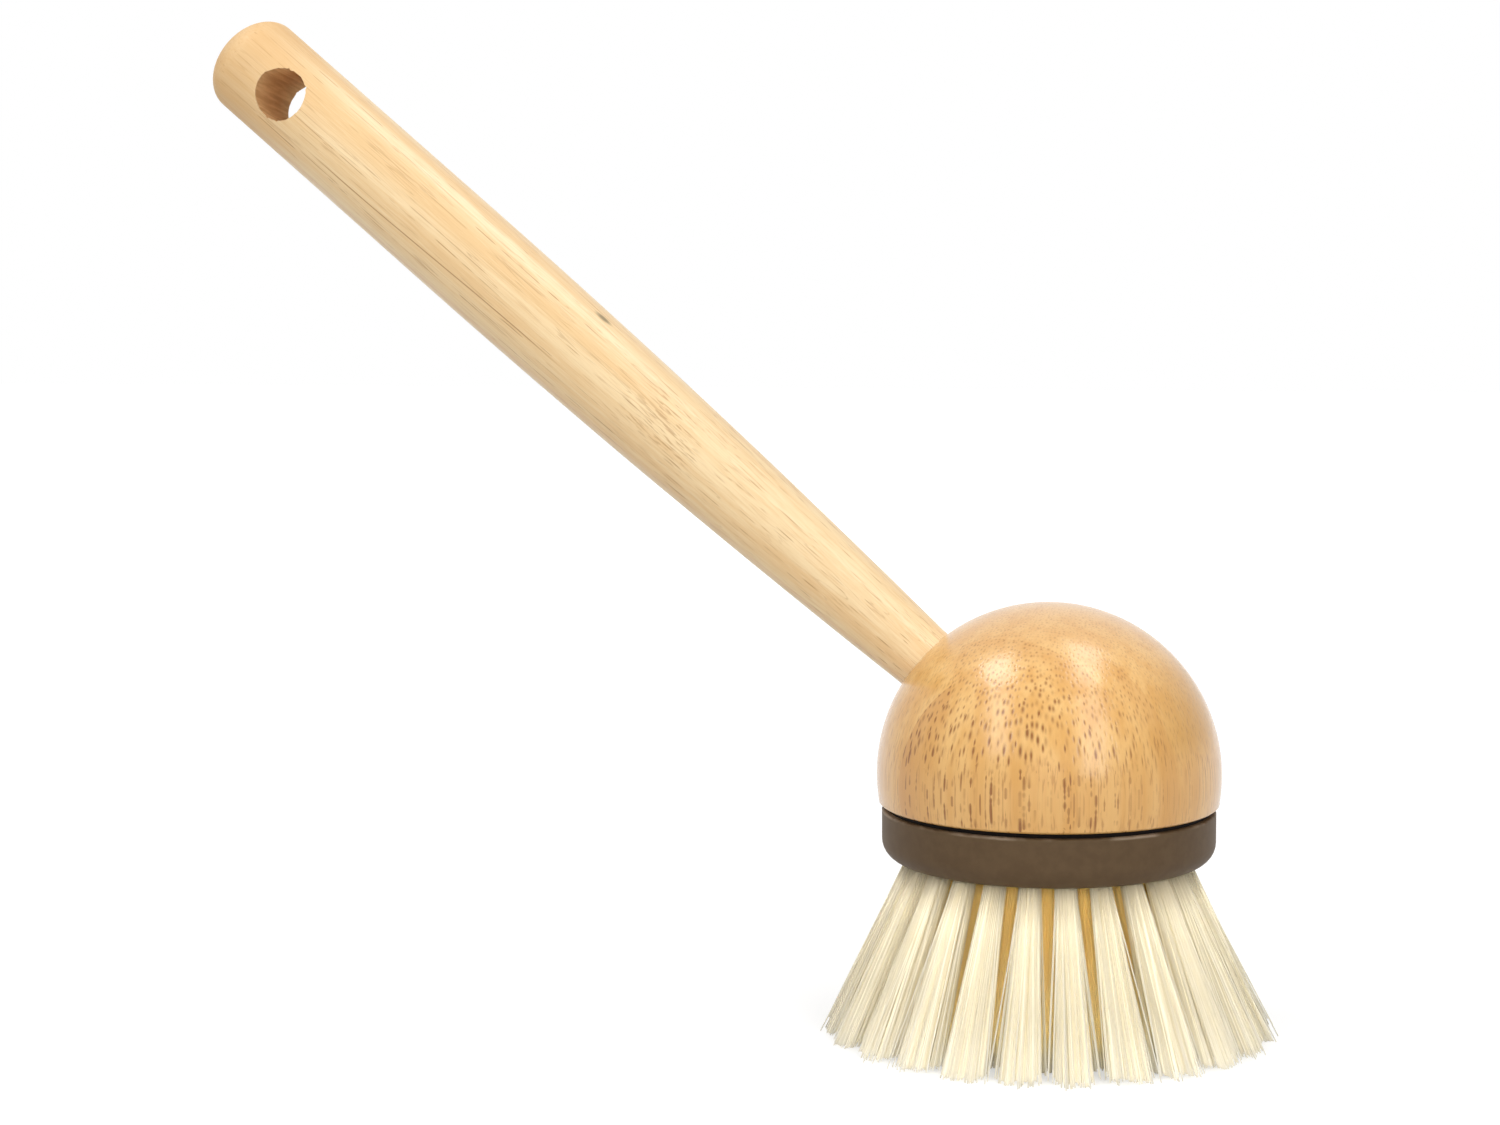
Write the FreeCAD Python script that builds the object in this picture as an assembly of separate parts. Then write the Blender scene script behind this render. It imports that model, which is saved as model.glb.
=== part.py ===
# Dish brush: a turned bamboo handle glued into a bamboo dome, above a screw-on plastic plate
# whose fan of bristle tufts is held by flat metal anchors.
# Millimetres and degrees. The origin is on the head's axis at the bristle tips, +Z is up and
# the handle leans towards -X.
import FreeCAD, Part
import math
import os

# Plate that carries the bristles
BRISTLE_LENGTH = 30.8  # bristle tips to the plate's underside
PLATE_RADIUS = 29.1
PLATE_THICKNESS = 8.9
PLATE_LOWER_ROUND = 3.6
PLATE_UPPER_ROUND = 0.4
PLATE_SETTING = 10.4  # where the plate's turn comes to rest when screwed home

# Tufts: the first ring holds TUFTS_PER_STEP of them, and each ring further out that many more
RING_NAMES = ["centre", "inner", "second", "third", "outer"]
TUFTS_PER_STEP = 6
RING_INSET = 6.3  # plate's edge to the centre line of the outer tufts, at the root
TIP_SPREAD_SHARE = 1.56  # radius of a ring at the tips over its radius at the roots
TUFT_SIDES = 12
TUFT_ROOT_RADIUS = 1.95
TUFT_TIP_RADIUS = 3.6
TUFT_CLEARANCE = 0.05  # tuft to the wall and floor of its hole
TUFT_HOLE_FLOOR = 1.8  # plastic left between the holes and the seal's seat

# Anchors: a flat of wire across each folded tuft, biting into both sides of its hole
ANCHOR_THICKNESS = 0.35
ANCHOR_WIDTH = 1.5
ANCHOR_BITE = 0.45
ANCHOR_RISE = 0.8  # hole's floor to the anchor
ANCHOR_TURN = 45.0  # from the radial direction
ANCHOR_CLEARANCE = 0.02

# Seal between plate and dome, seen as the dark line round the head
PARTING_GAP = 0.8
SEAL_SETBACK = 1.1  # plate's edge to the seal's edge
SEAL_WIDTH = 6.0
SEAL_SEAT_DEPTH = 0.5
SEAL_CLEARANCE = 0.1

# Screw fitting: a spigot on the plate turns in an insert in the dome
SPIGOT_RADIUS = 8.2  # at the root of its thread
SPIGOT_WALL = 2.2
SPIGOT_ENGAGEMENT = 8.0  # length of spigot inside the insert
SPIGOT_CHAMFER = 0.8
SPIGOT_END_GAP = 0.6
THREAD_DEPTH = 0.8
THREAD_CLEARANCE = 0.2
INSERT_WALL = 2.3
INSERT_ROOF = 1.6
INSERT_FLANGE_WIDTH = 3.5
INSERT_FLANGE_THICKNESS = 1.5
GLUE_GAP = 0.05

# Dome: a ball cut flat below its centre
DOME_RADIUS = 30.0
DOME_BASE_DROP = 5.35  # centre of the ball to the flat base
DOME_EDGE_ROUND = 1.2

# Handle, measured along its axis from the dome's surface
HANDLE_LEAN = 40.0  # above the horizontal
HANDLE_AIM_RISE = 0.8  # height at which its axis passes over the ball's centre
HANDLE_LENGTH = 170.9
HANDLE_TAPER_LENGTH = 115.0
HANDLE_NECK_RADIUS = 6.0
HANDLE_GRIP_RADIUS = 9.33
HANDLE_END_DEPTH = 6.3
TENON_WEB = 3.6  # bamboo left between the handle's tenon and the insert
TENON_CHAMFER = 0.8
HANG_HOLE_RADIUS = 4.75
HANG_HOLE_INSET = 16.7  # handle's end to the hole's centre
HANG_HOLE_TURN = 8.4  # the hole's axis against the horizontal

CUT_OVERRUN = 3.0
ROUND_POLE_SHARE = 0.5523  # pole of a curve that draws a quarter of an ellipse

# Heights and radii that follow from the sizes above
PLATE_TOP = BRISTLE_LENGTH + PLATE_THICKNESS
SEAL_SEAT = PLATE_TOP - SEAL_SEAT_DEPTH
DOME_BASE = PLATE_TOP + PARTING_GAP
DOME_CENTRE = DOME_BASE + DOME_BASE_DROP
SPIGOT_TOP = DOME_BASE + SPIGOT_ENGAGEMENT
RING_PITCH = (PLATE_RADIUS - RING_INSET) / (len(RING_NAMES) - 1)
TUFT_HOLE_RADIUS = TUFT_ROOT_RADIUS + TUFT_CLEARANCE
TUFT_HOLE_DEPTH = PLATE_THICKNESS - SEAL_SEAT_DEPTH - TUFT_HOLE_FLOOR
SEAL_OUTER_RADIUS = PLATE_RADIUS - SEAL_SETBACK
SEAL_INNER_RADIUS = SEAL_OUTER_RADIUS - SEAL_WIDTH
INSERT_BORE_RADIUS = SPIGOT_RADIUS + THREAD_DEPTH + THREAD_CLEARANCE
INSERT_RADIUS = INSERT_BORE_RADIUS + INSERT_WALL
INSERT_FLANGE_RADIUS = INSERT_RADIUS + INSERT_FLANGE_WIDTH
INSERT_BORE_TOP = SPIGOT_TOP + SPIGOT_END_GAP
INSERT_TOP = INSERT_BORE_TOP + INSERT_ROOF
HANDLE_AIM = DOME_CENTRE + HANDLE_AIM_RISE

V = FreeCAD.Vector
UP = V(0, 0, 1)


def in_section(radius, height):
    """Point of a turned piece's outline."""
    return V(radius, 0, height)


def turned(corners):
    """Revolve a closed outline of (radius, height, rounding) corners about the Z axis."""
    points = [in_section(radius, height) for radius, height, _ in corners]
    edges = []
    last_end = None
    for i, (_, _, rounding) in enumerate(corners + corners[:1]):
        corner = points[i % len(points)]
        back = (points[i - 1] - corner).normalize()
        ahead = (points[(i + 1) % len(points)] - corner).normalize()
        half_angle = back.getAngle(ahead) / 2
        run = rounding / math.tan(half_angle)
        start = corner + back * run
        end = corner + ahead * run
        if last_end:
            edges.append(Part.LineSegment(last_end, start).toShape())
        if rounding and i < len(corners):
            inward = (back + ahead).normalize()
            middle = corner + inward * (rounding / math.sin(half_angle) - rounding)
            edges.append(Part.Arc(start, middle, end).toShape())
        last_end = end
    return Part.Face(Part.Wire(edges)).revolve(V(), UP, 360)


def handle_placement():
    """Frame of the handle: its own Z runs along its axis, from over the ball's centre to its end."""
    return FreeCAD.Placement(V(0, 0, HANDLE_AIM), FreeCAD.Rotation(V(0, 1, 0), HANDLE_LEAN - 90))


def tenon_start():
    """Where the tenon ends inside the dome, along the handle's axis, clear of the insert's corner."""
    corner = V(-INSERT_RADIUS - GLUE_GAP, 0, INSERT_TOP + GLUE_GAP)
    return handle_placement().inverse().multVec(corner).z + TENON_WEB


def handle():
    """Turned handle: straight tenon, neck that swells into the grip, and a domed end with a hole."""
    start = tenon_start()
    taper_start = DOME_RADIUS
    taper_end = taper_start + HANDLE_TAPER_LENGTH
    end = DOME_RADIUS + HANDLE_LENGTH
    round_start = end - HANDLE_END_DEPTH

    swell = HANDLE_GRIP_RADIUS - HANDLE_NECK_RADIUS
    taper_curve = (HANDLE_TAPER_LENGTH**2 + swell**2) / (2 * swell)
    half_drop = taper_curve - math.sqrt(taper_curve**2 - (HANDLE_TAPER_LENGTH / 2) ** 2)
    taper_middle = in_section(HANDLE_GRIP_RADIUS - half_drop, (taper_start + taper_end) / 2)

    outline = [
        in_section(0, start),
        in_section(HANDLE_NECK_RADIUS - TENON_CHAMFER, start),
        in_section(HANDLE_NECK_RADIUS, start + TENON_CHAMFER),
        in_section(HANDLE_NECK_RADIUS, taper_start),
    ]
    edges = [Part.LineSegment(a, b).toShape() for a, b in zip(outline, outline[1:])]
    grip_start = in_section(HANDLE_GRIP_RADIUS, taper_end)
    grip_end = in_section(HANDLE_GRIP_RADIUS, round_start)
    edges.append(Part.Arc(outline[-1], taper_middle, grip_start).toShape())
    edges.append(Part.LineSegment(grip_start, grip_end).toShape())
    rounded_end = Part.BezierCurve()
    rounded_end.setPoles(
        [
            grip_end,
            in_section(HANDLE_GRIP_RADIUS, round_start + HANDLE_END_DEPTH * ROUND_POLE_SHARE),
            in_section(HANDLE_GRIP_RADIUS * ROUND_POLE_SHARE, end),
            in_section(0, end),
        ]
    )
    edges.append(rounded_end.toShape())
    edges.append(Part.LineSegment(in_section(0, end), outline[0]).toShape())
    body = Part.Face(Part.Wire(edges)).revolve(V(), UP, 360)

    reach = HANDLE_GRIP_RADIUS + CUT_OVERRUN
    across = FreeCAD.Rotation(UP, HANG_HOLE_TURN).multVec(V(0, 1, 0))
    centre = V(0, 0, end - HANG_HOLE_INSET)
    hole = Part.makeCylinder(HANG_HOLE_RADIUS, 2 * reach, centre - across * reach, across)
    body = body.cut(hole)
    body.Placement = handle_placement()
    return body


def head_dome():
    """Ball with a flat, round-edged base, bored for the handle and recessed for the insert."""
    round_height = DOME_EDGE_ROUND - DOME_BASE_DROP
    round_radius = math.sqrt((DOME_RADIUS - DOME_EDGE_ROUND) ** 2 - round_height**2)
    round_centre = in_section(round_radius, DOME_CENTRE + round_height)
    ball_centre = in_section(0, DOME_CENTRE)
    outward = (round_centre - ball_centre).normalize()
    tangent = ball_centre + outward * DOME_RADIUS
    round_middle = round_centre + (outward - UP).normalize() * DOME_EDGE_ROUND
    ball_middle = ball_centre + (outward + UP).normalize() * DOME_RADIUS
    base_edge = in_section(round_radius, DOME_BASE)
    top = in_section(0, DOME_CENTRE + DOME_RADIUS)
    base_centre = in_section(0, DOME_BASE)
    edges = [
        Part.LineSegment(base_centre, base_edge).toShape(),
        Part.Arc(base_edge, round_middle, tangent).toShape(),
        Part.Arc(tangent, ball_middle, top).toShape(),
        Part.LineSegment(top, base_centre).toShape(),
    ]
    ball = Part.Face(Part.Wire(edges)).revolve(V(), UP, 360)

    start = tenon_start() - GLUE_GAP
    bore_length = DOME_RADIUS + CUT_OVERRUN - start
    bore = Part.makeCylinder(HANDLE_NECK_RADIUS + GLUE_GAP, bore_length, V(0, 0, start))
    bore.Placement = handle_placement()
    below = DOME_BASE - CUT_OVERRUN
    flange_top = DOME_BASE + INSERT_FLANGE_THICKNESS + GLUE_GAP
    recess = turned(
        [
            (0, below, 0),
            (INSERT_FLANGE_RADIUS + GLUE_GAP, below, 0),
            (INSERT_FLANGE_RADIUS + GLUE_GAP, flange_top, 0),
            (INSERT_RADIUS + GLUE_GAP, flange_top, 0),
            (INSERT_RADIUS + GLUE_GAP, INSERT_TOP + GLUE_GAP, 0),
            (0, INSERT_TOP + GLUE_GAP, 0),
        ]
    )
    return ball.cut([bore, recess])


def threaded_insert():
    """Flanged cup glued into the dome's base, open below for the plate's spigot."""
    flange_top = DOME_BASE + INSERT_FLANGE_THICKNESS
    return turned(
        [
            (INSERT_BORE_RADIUS, DOME_BASE, 0),
            (INSERT_FLANGE_RADIUS, DOME_BASE, 0),
            (INSERT_FLANGE_RADIUS, flange_top, 0),
            (INSERT_RADIUS, flange_top, 0),
            (INSERT_RADIUS, INSERT_TOP, 0),
            (0, INSERT_TOP, 0),
            (0, INSERT_BORE_TOP, 0),
            (INSERT_BORE_RADIUS, INSERT_BORE_TOP, 0),
        ]
    )


def sealing_ring():
    """Flat rubber ring that sits in the plate's seat and meets the dome's base."""
    return turned(
        [
            (SEAL_INNER_RADIUS, SEAL_SEAT, 0),
            (SEAL_OUTER_RADIUS, SEAL_SEAT, 0),
            (SEAL_OUTER_RADIUS, DOME_BASE, 0),
            (SEAL_INNER_RADIUS, DOME_BASE, 0),
        ]
    )


def tuft_placements(ring):
    """Frames of a ring's tufts: origin at the mouth of the hole, Z up along the hole."""
    count = max(ring * TUFTS_PER_STEP, 1)
    placements = []
    for i in range(count):
        angle = 2 * math.pi * (i + 1 / 2) / count + math.radians(PLATE_SETTING)
        out = V(math.cos(angle), math.sin(angle), 0)
        root = out * (ring * RING_PITCH) + UP * BRISTLE_LENGTH
        tip = out * (ring * RING_PITCH * TIP_SPREAD_SHARE)
        turn = FreeCAD.Rotation(out, V(), root - tip, "ZXY")
        placements.append(FreeCAD.Placement(root, turn))
    return placements


def anchor(placement, clearance=0):
    """Flat anchor across a tuft near the floor of its hole, grown all round by a clearance."""
    length = 2 * (TUFT_HOLE_RADIUS + ANCHOR_BITE + clearance)
    thickness = ANCHOR_THICKNESS + 2 * clearance
    width = ANCHOR_WIDTH + 2 * clearance
    top = TUFT_HOLE_DEPTH - ANCHOR_RISE + clearance
    corner = V(-length / 2, -thickness / 2, top - width)
    flat = Part.makeBox(length, thickness, width, corner)
    flat.Placement = placement.multiply(FreeCAD.Placement(V(), FreeCAD.Rotation(UP, ANCHOR_TURN)))
    return flat


def tuft_hole(placement):
    """Blind round hole that takes the folded end of a tuft."""
    hole = Part.makeCylinder(TUFT_HOLE_RADIUS, TUFT_HOLE_DEPTH + CUT_OVERRUN, V(0, 0, -CUT_OVERRUN))
    hole.Placement = placement
    return hole


def flat_sided(sections):
    """Solid between polygons of like corners, with a flat face per side and a cap at each end."""
    outlines = [sections[0], sections[-1]]
    for near, far in zip(sections, sections[1:]):
        for i in range(len(near)):
            outlines.append([near[i - 1], near[i], far[i], far[i - 1]])
    faces = [Part.Face(Part.makePolygon(outline + outline[:1])) for outline in outlines]
    return Part.makeSolid(Part.makeShell(faces))


def tuft(placement):
    """Bundle of filaments: straight in its hole, then spreading to a flat trim at the tips."""
    along = placement.Rotation.multVec(UP)
    root_centre = placement.Base
    tip_centre = root_centre - along * (BRISTLE_LENGTH / along.z)
    corner = V(TUFT_ROOT_RADIUS, 0, TUFT_HOLE_DEPTH - TUFT_CLEARANCE)
    turns = [FreeCAD.Rotation(UP, 360 * i / TUFT_SIDES) for i in range(TUFT_SIDES)]
    folded_end = [placement.multVec(turn.multVec(corner)) for turn in turns]
    mouth = [p - along * ((p.z - BRISTLE_LENGTH) / along.z) for p in folded_end]
    spread = TUFT_TIP_RADIUS / TUFT_ROOT_RADIUS
    tips = [tip_centre + (p - root_centre) * spread for p in mouth]
    return flat_sided([folded_end, mouth, tips]).cut(anchor(placement, ANCHOR_CLEARANCE))


def brush_plate():
    """Turned plate with a seat for the seal, a hollow spigot, and a hole and slot for every tuft."""
    seat_outer = SEAL_OUTER_RADIUS + SEAL_CLEARANCE
    seat_inner = SEAL_INNER_RADIUS - SEAL_CLEARANCE
    spigot_bore = SPIGOT_RADIUS - SPIGOT_WALL
    disc = turned(
        [
            (0, BRISTLE_LENGTH, 0),
            (PLATE_RADIUS, BRISTLE_LENGTH, PLATE_LOWER_ROUND),
            (PLATE_RADIUS, PLATE_TOP, PLATE_UPPER_ROUND),
            (seat_outer, PLATE_TOP, 0),
            (seat_outer, SEAL_SEAT, 0),
            (seat_inner, SEAL_SEAT, 0),
            (seat_inner, PLATE_TOP, 0),
            (SPIGOT_RADIUS, PLATE_TOP, 0),
            (SPIGOT_RADIUS, SPIGOT_TOP - SPIGOT_CHAMFER, 0),
            (SPIGOT_RADIUS - SPIGOT_CHAMFER, SPIGOT_TOP, 0),
            (spigot_bore, SPIGOT_TOP, 0),
            (spigot_bore, PLATE_TOP, 0),
            (0, PLATE_TOP, 0),
        ]
    )
    cuts = []
    for ring in range(len(RING_NAMES)):
        for placement in tuft_placements(ring):
            cuts.append(tuft_hole(placement))
            cuts.append(anchor(placement, ANCHOR_CLEARANCE))
    return disc.cut(cuts)


def export(name, shape):
    """Write one piece, or one group of like pieces."""
    shape.exportStep(os.path.join("parts", name + ".step"))


os.makedirs("parts", exist_ok=True)
export("handle", handle())
export("head_dome", head_dome())
export("threaded_insert", threaded_insert())
export("sealing_ring", sealing_ring())
export("brush_plate", brush_plate())
for ring, name in enumerate(RING_NAMES):
    placements = tuft_placements(ring)
    export(name + "_tufts", Part.makeCompound([tuft(placement) for placement in placements]))
    export(name + "_anchors", Part.makeCompound([anchor(placement) for placement in placements]))
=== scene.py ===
import bpy
import math
import random
from mathutils import Matrix, Vector


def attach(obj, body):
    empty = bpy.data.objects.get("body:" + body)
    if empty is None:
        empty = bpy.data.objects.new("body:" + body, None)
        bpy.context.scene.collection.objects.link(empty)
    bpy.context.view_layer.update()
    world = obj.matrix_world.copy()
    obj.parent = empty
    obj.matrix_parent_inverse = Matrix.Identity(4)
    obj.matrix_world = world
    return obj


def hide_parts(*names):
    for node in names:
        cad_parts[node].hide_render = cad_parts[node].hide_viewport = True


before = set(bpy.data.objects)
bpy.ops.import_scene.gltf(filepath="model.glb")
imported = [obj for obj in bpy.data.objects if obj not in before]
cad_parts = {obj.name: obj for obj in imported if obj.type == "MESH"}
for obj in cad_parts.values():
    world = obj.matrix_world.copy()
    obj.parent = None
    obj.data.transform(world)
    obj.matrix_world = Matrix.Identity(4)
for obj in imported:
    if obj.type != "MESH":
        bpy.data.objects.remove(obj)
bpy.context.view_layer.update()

# Handle: one stick of pale bamboo, turned on a lathe, thin at the neck and swelling to the grip.
# Its end is sanded round, a hanging hole is drilled through it, and its neck is glued into the dome.
MM = 0.001
DOME_RADIUS = 30 * MM
HANDLE_LEAN = math.radians(40)
HANDLE_TURN = (0, HANDLE_LEAN - math.radians(90), 0)
HANDLE_AIM = 46.65 * MM
TENON_START = 15.1 * MM
HANDLE_END = 200.9 * MM
TAPER_LENGTH = 115 * MM
NECK_RADIUS = 6 * MM
GRIP_RADIUS = 9.33 * MM
END_DEPTH = 6.3 * MM
HOLE_RADIUS = 4.75 * MM
HOLE_INSET = 16.7 * MM
HOLE_TURN = math.radians(8.4)
HANDLE_SIDES = 96
TENON_STEPS = 5
TAPER_STEPS = 60
GRIP_STEPS = 30
END_STEPS = 16
HOLE_SIDES = 72
FLUTE_DEPTH = 0.05 * MM
CHIP_DEPTHS = (0.15 * MM, 0.3 * MM)
CHIP_SHARE = 0.06
SHARP_EDGE = 35
# marks on the handle: a band's four values are where it starts, is full, fades and ends
CANE_NODE_ALONG = (87 * MM, 92 * MM, 102 * MM, 108 * MM)
CANE_NODE_ROUND = (-0.35, 0.0, 0.8, 1.1)
CANE_NODE_WAVER = 14 * MM
GLUE_LINE_ALONG = (108 * MM, 122 * MM, 165 * MM, 176 * MM)
GLUE_LINE_BEND = (119 * MM, 168 * MM)
GLUE_LINE_TURNS = (math.radians(-13), math.radians(-20))
SCAR_PLACE = (8.45 * MM, -3.1 * MM, 112.2 * MM)
SCAR_SHAPE = (1, 1, 0.35)
SCAR_CORE = 0.2 * MM
SCAR_EDGE = 0.9 * MM
SCORCH_FULL_DEPTH = 0.3 * MM
SCORCH_START_DEPTH = 0.08 * MM
SCORCH_REACH = 1 * MM
END_TINT_LENGTH = 34 * MM
END_TINT_FULL = 2 * MM


def deselect():
    """Leave nothing selected, so that the next operator acts on its own piece only."""
    if bpy.context.mode != "OBJECT":
        bpy.ops.object.mode_set(mode="OBJECT")
    bpy.ops.object.select_all(action="DESELECT")


def only(piece):
    """Select one piece and make it the active one."""
    deselect()
    piece.select_set(True)
    bpy.context.view_layer.objects.active = piece


def turned(name, outline, steps):
    """Draw an outline of (radius, height) points from one vertex and spin it about the Z axis."""
    deselect()
    bpy.ops.mesh.primitive_plane_add(size=MM)
    piece = bpy.context.object
    piece.name = name
    bpy.ops.object.mode_set(mode="EDIT")
    bpy.ops.mesh.select_mode(type="VERT")
    bpy.ops.mesh.select_all(action="SELECT")
    bpy.ops.mesh.merge(type="CENTER")
    bpy.ops.transform.translate(value=(outline[0][0], 0, outline[0][1]))
    for (radius, height), (next_radius, next_height) in zip(outline, outline[1:]):
        step = (next_radius - radius, 0, next_height - height)
        bpy.ops.mesh.extrude_region_move(TRANSFORM_OT_translate={"value": step})
    bpy.ops.mesh.select_all(action="SELECT")
    bpy.ops.mesh.spin(steps=steps, angle=2 * math.pi, center=(0, 0, 0), axis=(0, 0, 1))
    bpy.ops.mesh.select_all(action="SELECT")
    bpy.ops.mesh.remove_doubles(threshold=MM / 1000)
    bpy.ops.mesh.normals_make_consistent(inside=False)
    bpy.ops.object.mode_set(mode="OBJECT")
    return piece


def arc(centre, radii, start, end, count):
    """Points of part of an ellipse in an outline, angles in degrees."""
    points = []
    for i in range(count + 1):
        angle = math.radians(start + (end - start) * i / count)
        points.append((centre[0] + radii[0] * math.cos(angle), centre[1] + radii[1] * math.sin(angle)))
    return points


def bored(piece, cutter):
    """Cut the cutter's shape out of a piece and remove the cutter."""
    only(piece)
    cut = piece.modifiers.new("bore", "BOOLEAN")
    cut.operation = "DIFFERENCE"
    cut.solver = "EXACT"
    cut.object = cutter
    bpy.ops.object.modifier_apply(modifier=cut.name)
    bpy.data.objects.remove(cutter)
    return piece


def smooth(piece, degrees):
    """Shade a piece smooth, apart from edges sharper than the angle."""
    only(piece)
    bpy.ops.object.shade_smooth_by_angle(angle=math.radians(degrees))


swell = GRIP_RADIUS - NECK_RADIUS
taper_curve = (TAPER_LENGTH**2 + swell**2) / (2 * swell)
taper_end = DOME_RADIUS + TAPER_LENGTH
round_start = HANDLE_END - END_DEPTH
handle_outline = [(0, TENON_START), (NECK_RADIUS, TENON_START)]
for i in range(TENON_STEPS):
    share = (i + 1) / TENON_STEPS
    handle_outline.append((NECK_RADIUS, TENON_START + (DOME_RADIUS - TENON_START) * share))
for i in range(TAPER_STEPS):
    along = TAPER_LENGTH * (i + 1) / TAPER_STEPS
    drop = taper_curve - math.sqrt(taper_curve**2 - (TAPER_LENGTH - along) ** 2)
    handle_outline.append((GRIP_RADIUS - drop, DOME_RADIUS + along))
for i in range(GRIP_STEPS - 1):
    share = (i + 1) / GRIP_STEPS
    handle_outline.append((GRIP_RADIUS, taper_end + (round_start - taper_end) * share))
handle_outline += arc((0, round_start), (GRIP_RADIUS, END_DEPTH), 0, 90, END_STEPS)
handle = turned("bamboo_handle", handle_outline, HANDLE_SIDES)

deselect()
bpy.ops.mesh.primitive_cylinder_add(
    vertices=HOLE_SIDES,
    radius=HOLE_RADIUS,
    depth=4 * GRIP_RADIUS,
    location=(0, 0, HANDLE_END - HOLE_INSET),
    rotation=(math.radians(90), 0, HOLE_TURN),
)
# the drill tore the fibres, so the wall is fluted and its rims are chipped
drill = bpy.context.object
torn = random.Random(5)
for vertex in drill.data.vertices:
    chip = abs(torn.gauss(0, FLUTE_DEPTH))
    if torn.random() < CHIP_SHARE:
        chip += torn.uniform(*CHIP_DEPTHS)
    vertex.co.x *= 1 + chip / HOLE_RADIUS
    vertex.co.y *= 1 + chip / HOLE_RADIUS
bored(handle, drill)
only(handle)
handle.rotation_euler = HANDLE_TURN
handle.location = (0, 0, HANDLE_AIM)
bpy.ops.object.transform_apply(location=True, rotation=True, scale=True)
smooth(handle, SHARP_EDGE)


def paint(red, green, blue):
    """Colour as seen on a screen, 0 to 255, turned into a shader's own values."""
    levels = [channel / 255 for channel in (red, green, blue)]
    return tuple(v / 12.92 if v <= 0.04045 else ((v + 0.055) / 1.055) ** 2.4 for v in levels) + (1.0,)


def feed(tree, node, feeds):
    """Set a node's inputs, each to a value or to another node's output."""
    for name, value in feeds.items():
        if isinstance(value, bpy.types.NodeSocket):
            tree.links.new(value, node.inputs[name])
        else:
            node.inputs[name].default_value = value


def add(tree, kind, feeds, **settings):
    """Add a node with its settings and feed its inputs."""
    made = tree.nodes.new(kind)
    for name, value in settings.items():
        setattr(made, name, value)
    feed(tree, made, feeds)
    return made


def maths(tree, operation, *values):
    """Output of a Math node."""
    return add(tree, "ShaderNodeMath", dict(enumerate(values)), operation=operation).outputs[0]


def vector_maths(tree, operation, feeds):
    """Outputs of a Vector Math node."""
    return add(tree, "ShaderNodeVectorMath", feeds, operation=operation).outputs


def blend_colour(tree, share, first, second):
    """Output of a colour mix, whose colours are the inputs 6 and 7."""
    return add(tree, "ShaderNodeMix", {0: share, 6: first, 7: second}, data_type="RGBA").outputs[2]


def span(tree, value, low, high, to_low=0.0, to_high=1.0):
    """Value moved from one range to another with a soft start and end."""
    feeds = {"Value": value, "From Min": low, "From Max": high, "To Min": to_low, "To Max": to_high}
    return add(tree, "ShaderNodeMapRange", feeds, interpolation_type="SMOOTHSTEP").outputs["Result"]


def band(tree, value, start, full, fading, end):
    """Mask that rises from start to full and falls from fading to end."""
    rise = span(tree, value, start, full)
    return maths(tree, "MULTIPLY", rise, span(tree, value, fading, end, 1.0, 0.0))


def noise(tree, vector, per_metre, detail, turn=(0, 0, 0)):
    """Outputs of a noise with its own number of lumps per metre along each axis."""
    feeds = {"Vector": vector, "Rotation": turn, "Scale": per_metre}
    stretched = add(tree, "ShaderNodeMapping", feeds).outputs[0]
    return add(tree, "ShaderNodeTexNoise", {"Vector": stretched, "Scale": 1.0, "Detail": detail}).outputs


def relief(tree, height, strength, depth):
    """Normal of a surface with fine relief."""
    feeds = {"Height": height, "Strength": strength, "Distance": depth}
    return add(tree, "ShaderNodeBump", feeds).outputs[0]


def own_axes(tree, vector, origin, turn):
    """Place measured from another origin along turned axes."""
    feeds = {"Vector": vector, "Location": origin, "Rotation": turn}
    return add(tree, "ShaderNodeMapping", feeds, vector_type="TEXTURE").outputs[0]


def off_axis(tree, first, second):
    """Distance from an axis, from the two parts of a place that lie across it."""
    across = add(tree, "ShaderNodeCombineXYZ", {0: first, 1: second}).outputs[0]
    return vector_maths(tree, "LENGTH", {0: across})["Value"]


def finish_of(name):
    """New material: its node tree, its shader and the piece's own coordinates."""
    material = bpy.data.materials.new(name)
    material.use_nodes = True
    tree = material.node_tree
    shader = tree.nodes["Principled BSDF"]
    place = add(tree, "ShaderNodeTexCoord", {}).outputs["Object"]
    return material, tree, shader, place


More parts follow.
